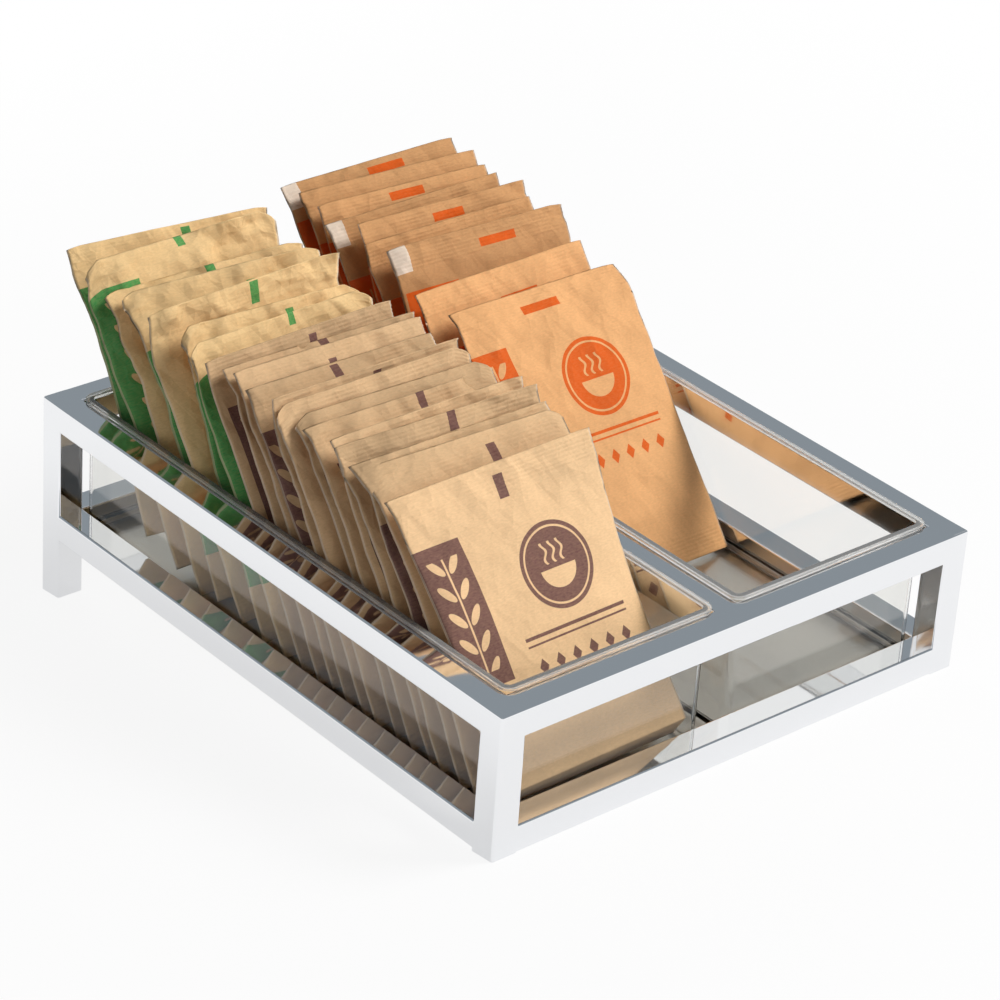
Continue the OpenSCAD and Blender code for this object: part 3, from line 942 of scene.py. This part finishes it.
def packet_mesh(tree, sizes, paper):
    """One packet's plain mesh from the Geometry Nodes tree."""
    stand_in = bpy.data.objects.new("packet_maker", bpy.data.meshes.new("packet_maker"))
    bpy.context.scene.collection.objects.link(stand_in)
    maker = stand_in.modifiers.new("Kraft packet", "NODES")
    maker.node_group = tree
    for socket in tree.interface.items_tree:
        if socket.in_out == "INPUT":
            maker[socket.identifier] = paper if socket.name == "Paper" else sizes[socket.name]
    depsgraph = bpy.context.evaluated_depsgraph_get()
    mesh = bpy.data.meshes.new_from_object(
        stand_in.evaluated_get(depsgraph), preserve_all_data_layers=True, depsgraph=depsgraph)
    bpy.data.objects.remove(stand_in)
    return mesh


def make_packets(context, flavour, nodes, strip_reach, mark_half, creased, sway, own):
    """Makes one flavour's packets where their CAD solids stand, each rumpled its own way and swayed to
    a side by up to an angle. The print's strip reach and press mark and how creased the paper is are the
    flavour's. own takes a packet's number and a source of chance and gives the sizes that are its own."""
    looks = context.scene.holder_packets
    tree = bpy.data.node_groups.get("Kraft packet") or packet_tree()
    size = packet_place(nodes[0])[1]
    width, length = size.x - looks.side_room, size.z
    paper = printed_kraft(
        flavour + "_kraft_paper", getattr(looks, flavour + "_paper"), getattr(looks, flavour),
        width / MM, length / MM, strip_reach, mark_half, creased)
    for number, node in enumerate(nodes):
        place, size = packet_place(node)
        draw = random.Random(1000 * len(flavour) + number)
        sizes = {
            "Width": width, "Length": length, "Belly": size.y - looks.belly_room,
            "Crimp Pitch": looks.crimp_pitch, "Crimp Depth": looks.crimp_depth,
            "Ease": 0, "Fold": 0, "Tuck": 0, "Bare Corner": 0, "Bare Side": 0,
            "Seed": 50 * MM * number + 0.1 * len(flavour),
            "Press Drift": draw.uniform(-7, 6), "Press Rise": draw.uniform(-6, 6),
            "Tone": draw.uniform(0.88, 1.04),
        }
        sizes.update(own(number, draw))
        mesh = packet_mesh(tree, sizes, paper)
        angle = sizes.get("Sway", draw.uniform(-sway, sway))
        lift = draw.uniform(0, 2) * MM + width / 2 * math.sin(abs(angle))
        foot = Matrix.Translation((draw.uniform(-looks.shift, looks.shift), 0, lift - length))
        mesh.transform(place @ foot @ Matrix.Rotation(angle, 4, "Y"))
        finished_piece(node + "_pouch", mesh, None, node)


def bunched(number, bunch, step):
    """How far a packet's upper end moves to lie close to the others of its bunch, back being positive."""
    return (number % bunch - (bunch - 1) / 2) * step


def nodes_named(*starts):
    """The CAD nodes whose names start with one of these, in the order of their numbers."""
    found = []
    for start in starts:
        group = [n for n in frame["nodes"] if n.startswith(start)]
        found += sorted(group, key=lambda n: (len(n), n))
    return found


class HOLDER_OT_green(bpy.types.Operator):
    """Makes the green packets, full and well rumpled, at the back of the left tray"""
    bl_idname = "holder.green_packets"
    bl_label = "Green packets"

    def execute(self, context):
        nodes = nodes_named("green_packet_")
        bare_sides = (2, 4)
        crimp = 0.5 * context.scene.holder_packets.crimp_depth
        short = packet_place(nodes[0])[1].z - 7 * MM

        def own(number, draw):
            """The nearer the back, the further a packet's right side comes forward. The back packet is
            smooth, pale, rather short and tipped to the right, and the front one is a little smooth to
            stay clear of the plum ones. Some have a bare side."""
            from_front = len(nodes) - 1 - number
            smooth = 1 if from_front else 0.5
            own_sizes = {
                "Wrinkle": draw.uniform(4, 7) * smooth * MM, "Crumple": draw.uniform(8, 13) * smooth * MM,
                "Curl": draw.uniform(-5, 2) * MM, "Fold": math.radians(draw.uniform(-25, 30)),
                "Cup": draw.uniform(-2, 4) * MM, "Twist": (draw.uniform(-2, 2) - 1.2 * from_front) * MM,
                "Corner": draw.uniform(1, 9) * MM, "Crimp Depth": crimp,
                "Press Rise": draw.uniform(-14, 10), "Bare Side": float(number in bare_sides),
            }
            if number == 0:
                own_sizes.update({
                    "Wrinkle": 3 * MM, "Crumple": 3 * MM, "Curl": 3 * MM, "Fold": math.radians(-15),
                    "Cup": 0, "Corner": 1 * MM, "Tone": 1.04, "Sway": math.radians(4), "Length": short})
            return own_sizes

        make_packets(
            context, "green", nodes, strip_reach=(-9, 112), mark_half=(2.2, 5), creased=0.5,
            sway=math.radians(2.5), own=own)
        return {"FINISHED"}


class HOLDER_OT_plum(bpy.types.Operator):
    """Makes the plum packets, flat and close together, in front of the green ones"""
    bl_idname = "holder.plum_packets"
    bl_label = "Plum packets"

    def execute(self, context):
        nodes = nodes_named("plum_packet_", "plum_front_")
        last = len(nodes) - 1
        bare_sides = (2, 5, 9)

        def own(number, draw):
            """The nearer the front, the further a packet's left side lies back. The front packet stands
            on its lower seal, which is bent back under it, and slides over a smooth one. The back packet
            is smooth too, clear of the green ones. Some have a bare side. All but the front one are
            painted darker, a painted shade of the tight stack, in three tones that take turns."""
            front = number == last
            smooth = 1 if 0 < number < last - 1 else 0.4
            return {
                "Wrinkle": draw.uniform(3, 6) * smooth * MM, "Crumple": draw.uniform(4, 7) * smooth * MM,
                "Curl": bunched(number, 4, 2.6 * MM) + draw.uniform(-1, 1) * MM,
                "Fold": math.radians(draw.uniform(-12, 15)), "Cup": draw.uniform(-1.5, 2.5) * MM,
                "Twist": -7 * MM * (number / last) ** 2 + draw.uniform(-1.5, 1.5) * MM,
                "Corner": draw.choice((0.3, 0.6, 5)) * MM, "Ease": 0.35 if front else 0,
                "Tuck": math.radians(68) if front else 0, "Bare Side": float(number in bare_sides),
                # Painted shade: the stacked packets are darker than the front one
                "Tone": 1.04 if front else 0.76 + 0.06 * (number % 3),
            }

        make_packets(
            context, "plum", nodes, strip_reach=(3, 82), mark_half=(2.2, 5), creased=0.4,
            sway=math.radians(1.2), own=own)
        return {"FINISHED"}


class HOLDER_OT_orange(bpy.types.Operator):
    """Makes the orange packets, stiff and straight, in the right tray"""
    bl_idname = "holder.orange_packets"
    bl_label = "Orange packets"

    def execute(self, context):
        stacked = nodes_named("orange_packet_")
        loose = nodes_named("orange_front_")

        def own(number, draw):
            """The packets take turns at a bare upper corner. The loose ones in front are painted lighter, a
            painted light, and the stacked ones darker in three tones that take turns, a painted shade.
            """
            in_front = number >= len(stacked)
            return {
                "Wrinkle": draw.uniform(3, 5) * MM, "Crumple": draw.uniform(2.5, 5) * MM,
                "Curl": bunched(number, 3, 2.6 * MM) + draw.uniform(-1, 1) * MM,
                "Fold": math.radians(draw.uniform(-15, 15)), "Cup": draw.uniform(-0.8, 1.5) * MM,
                "Twist": draw.uniform(-2.5, 2.5) * MM, "Corner": draw.uniform(0, 0.8) * MM,
                "Ease": 0.3 if in_front else 0, "Bare Corner": 0.8 * (number % 3 == 0),
                # Painted light on the loose front pair, painted shade on the stack
                "Tone": 1.14 if in_front else 0.82 + 0.05 * (number % 3),
            }

        make_packets(
            context, "orange", stacked + loose, strip_reach=(-4, 82), mark_half=(10, 2), creased=0.4,
            sway=math.radians(2), own=own)
        return {"FINISHED"}


# Stage

def studio_world(looks):
    """White round the horizon and to the eye, a grey-blue wall for mirrors, even light for the rest."""
    world = bpy.data.worlds.new("Studio")
    bpy.context.scene.world = world
    world.use_nodes = True
    tree = world.node_tree
    tree.nodes.clear()
    wall_foot, wall_full = 0.10, 0.24
    path = add(tree, "ShaderNodeLightPath").outputs
    height = add(tree, "ShaderNodeSeparateXYZ", add(tree, "ShaderNodeTexCoord").outputs["Generated"])
    wall = add(
        tree, "ShaderNodeMapRange", height.outputs["Z"], wall_foot, wall_full,
        interpolation_type="SMOOTHSTEP")
    mirrored = add(tree, "ShaderNodeMix", wall, data_type="RGBA", named={
        MIX_FROM: WHITE, MIX_TO: (*looks.surround, 1)})
    soft = add(tree, "ShaderNodeMix", path["Is Glossy Ray"], data_type="RGBA", named={
        MIX_FROM: (looks.ambient, looks.ambient, looks.ambient, 1), MIX_TO: mirrored.outputs[MIXED]})
    seen = add(tree, MATH, path["Is Camera Ray"], path["Is Transmission Ray"], operation="MAXIMUM")
    colour = add(tree, "ShaderNodeMix", seen, data_type="RGBA", named={
        MIX_FROM: soft.outputs[MIXED], MIX_TO: WHITE})
    sky = add(tree, "ShaderNodeBackground", colour.outputs[MIXED], 1.0)
    output = tree.nodes.new("ShaderNodeOutputWorld")
    tree.links.new(sky.outputs[0], output.inputs[0])


def floor_paper(colour):
    """Seamless white paper floor: plain and matt. To the eye and to mirrors it is mostly bare white, the
    more so the further it lies from the holder; what it throws on the packets is dimmed."""
    dimmed = (0.4, 0.4, 0.4, 1)
    # Distances from the holder's box between which the white share grows, and its least and most
    seen_grows, mirrored_grows = (0.1, 0.6, 0.9, 1.0), (0.0, 0.12, 0.68, 0.95)
    material, tree, output = new_material("seamless_white_paper")
    path = add(tree, "ShaderNodeLightPath").outputs
    bounce = add(tree, "ShaderNodeMix", path["Is Diffuse Ray"], data_type="RGBA", named={
        MIX_FROM: (*colour, 1), MIX_TO: dimmed})
    paper = add(tree, "ShaderNodeBsdfPrincipled", named={
        "Base Color": bounce.outputs[MIXED], "Roughness": 0.9})
    white = add(tree, "ShaderNodeEmission", WHITE, 1.0)
    place = add(tree, "ShaderNodeTexCoord").outputs["Object"]
    reach = [max(map(abs, ends)) for ends in zip(*CAD_BOX)]
    past = add(tree, "ShaderNodeVectorMath", place, operation="ABSOLUTE")
    past = add(tree, "ShaderNodeVectorMath", past, reach, operation="SUBTRACT")
    past = add(tree, "ShaderNodeSeparateXYZ", past)
    away = add(tree, MATH, past.outputs["X"], past.outputs["Y"], operation="MAXIMUM")
    bare = add(tree, "ShaderNodeMapRange", away, *seen_grows)
    seen = add(tree, MATH, path["Is Camera Ray"], path["Is Transmission Ray"], operation="MAXIMUM")
    seen = add(tree, MATH, seen, bare, operation="MULTIPLY")
    mirrored = add(tree, "ShaderNodeMapRange", away, *mirrored_grows)
    mirrored = add(tree, MATH, mirrored, path["Is Glossy Ray"], operation="MULTIPLY")
    share = add(tree, MATH, seen, mirrored, operation="MAXIMUM")
    mixed = add(tree, "ShaderNodeMixShader", share, paper, white)
    tree.links.new(mixed.outputs[0], output.inputs[0])
    return material


def soft_lamp(name, place, target, size, power):
    """A square area lamp aimed at a point. Neither mirrors nor the clear trays show it, or they would
    throw glints on the packets."""
    lamp = bpy.data.lights.new(name, "AREA")
    lamp.size = size
    lamp.energy = power
    holder = bpy.data.objects.new(name, lamp)
    holder.location = place
    holder.visible_glossy = False
    holder.visible_transmission = False
    holder.rotation_euler = (Vector(target) - Vector(place)).to_track_quat("-Z", "Y").to_euler()
    bpy.context.scene.collection.objects.link(holder)


# Where each lamp stands and how wide it is, in metres
LAMPS = {
    "key": ((1.3, -1.1, 1.8), 1.0),
    "fill": ((0.1, -2.2, 0.5), 1.2),
    "side": ((-2.2, -0.7, 0.45), 0.8),
    "back": ((0.9, 2.2, 0.9), 1.4),
}
FLOOR_HALF = 8
SENSOR_WIDTH = 36


class HOLDER_OT_stage(bpy.types.Operator):
    """Sets the floor, the light and the camera"""
    bl_idname = "holder.stage"
    bl_label = "Studio stage"

    def execute(self, context):
        looks = context.scene.holder_stage
        context.scene.view_settings.view_transform = "Standard"
        studio_world(looks)
        bm = bmesh.new()
        bmesh.ops.create_grid(bm, x_segments=1, y_segments=1, size=FLOOR_HALF)
        mesh = bpy.data.meshes.new("floor")
        bm.to_mesh(mesh)
        bm.free()
        mesh.materials.append(floor_paper(looks.floor))
        floor = bpy.data.objects.new("floor", mesh)
        context.scene.collection.objects.link(floor)
        for name, (place, size) in LAMPS.items():
            soft_lamp(name + "_lamp", place, looks.target, size, getattr(looks, name))
        camera = bpy.data.objects.new("camera", bpy.data.cameras.new("camera"))
        context.scene.collection.objects.link(camera)
        camera.data.lens = looks.lens
        camera.data.sensor_width = SENSOR_WIDTH
        flat = math.cos(looks.elevation)
        back = Vector((
            -math.sin(looks.azimuth) * flat, -math.cos(looks.azimuth) * flat, math.sin(looks.elevation)))
        camera.location = Vector(looks.target) + back * looks.distance
        camera.rotation_euler = (-back).to_track_quat("-Z", "Y").to_euler()
        context.scene.camera = camera
        return {"FINISHED"}


class HOLDER_PT_panel(bpy.types.Panel):
    """Lists the holder's sizes, colours and build steps"""
    bl_idname = "HOLDER_PT_panel"
    bl_label = "Packet Holder"
    bl_space_type = "VIEW_3D"
    bl_region_type = "UI"
    bl_category = "Packet Holder"

    def draw(self, context):
        for group in GROUPS:
            box = self.layout.box()
            settings = getattr(context.scene, group)
            for name in settings.__annotations__:
                box.prop(settings, name)
        for operator in OPERATORS:
            self.layout.operator(operator.bl_idname)


GROUPS = {
    "holder_frame": FrameFinish,
    "holder_trays": TrayFinish,
    "holder_packets": PacketFinish,
    "holder_stage": StageSetup,
}
OPERATORS = [
    HOLDER_OT_stage, HOLDER_OT_frame, HOLDER_OT_base, HOLDER_OT_trays,
    HOLDER_OT_green, HOLDER_OT_plum, HOLDER_OT_orange,
]


def register():
    for group in [*GROUPS.values(), *OPERATORS, HOLDER_PT_panel]:
        bpy.utils.register_class(group)
    for name, group in GROUPS.items():
        setattr(bpy.types.Scene, name, bpy.props.PointerProperty(type=group))


def unregister():
    for name in GROUPS:
        delattr(bpy.types.Scene, name)
    for group in reversed([*GROUPS.values(), *OPERATORS, HOLDER_PT_panel]):
        bpy.utils.unregister_class(group)


def main():
    """Builds everything."""
    register()
    bpy.ops.holder.stage()
    bpy.ops.holder.frame()
    bpy.ops.holder.base()
    bpy.ops.holder.trays()
    bpy.ops.holder.green_packets()
    bpy.ops.holder.plum_packets()
    bpy.ops.holder.orange_packets()


if __name__ == "__main__":
    main()
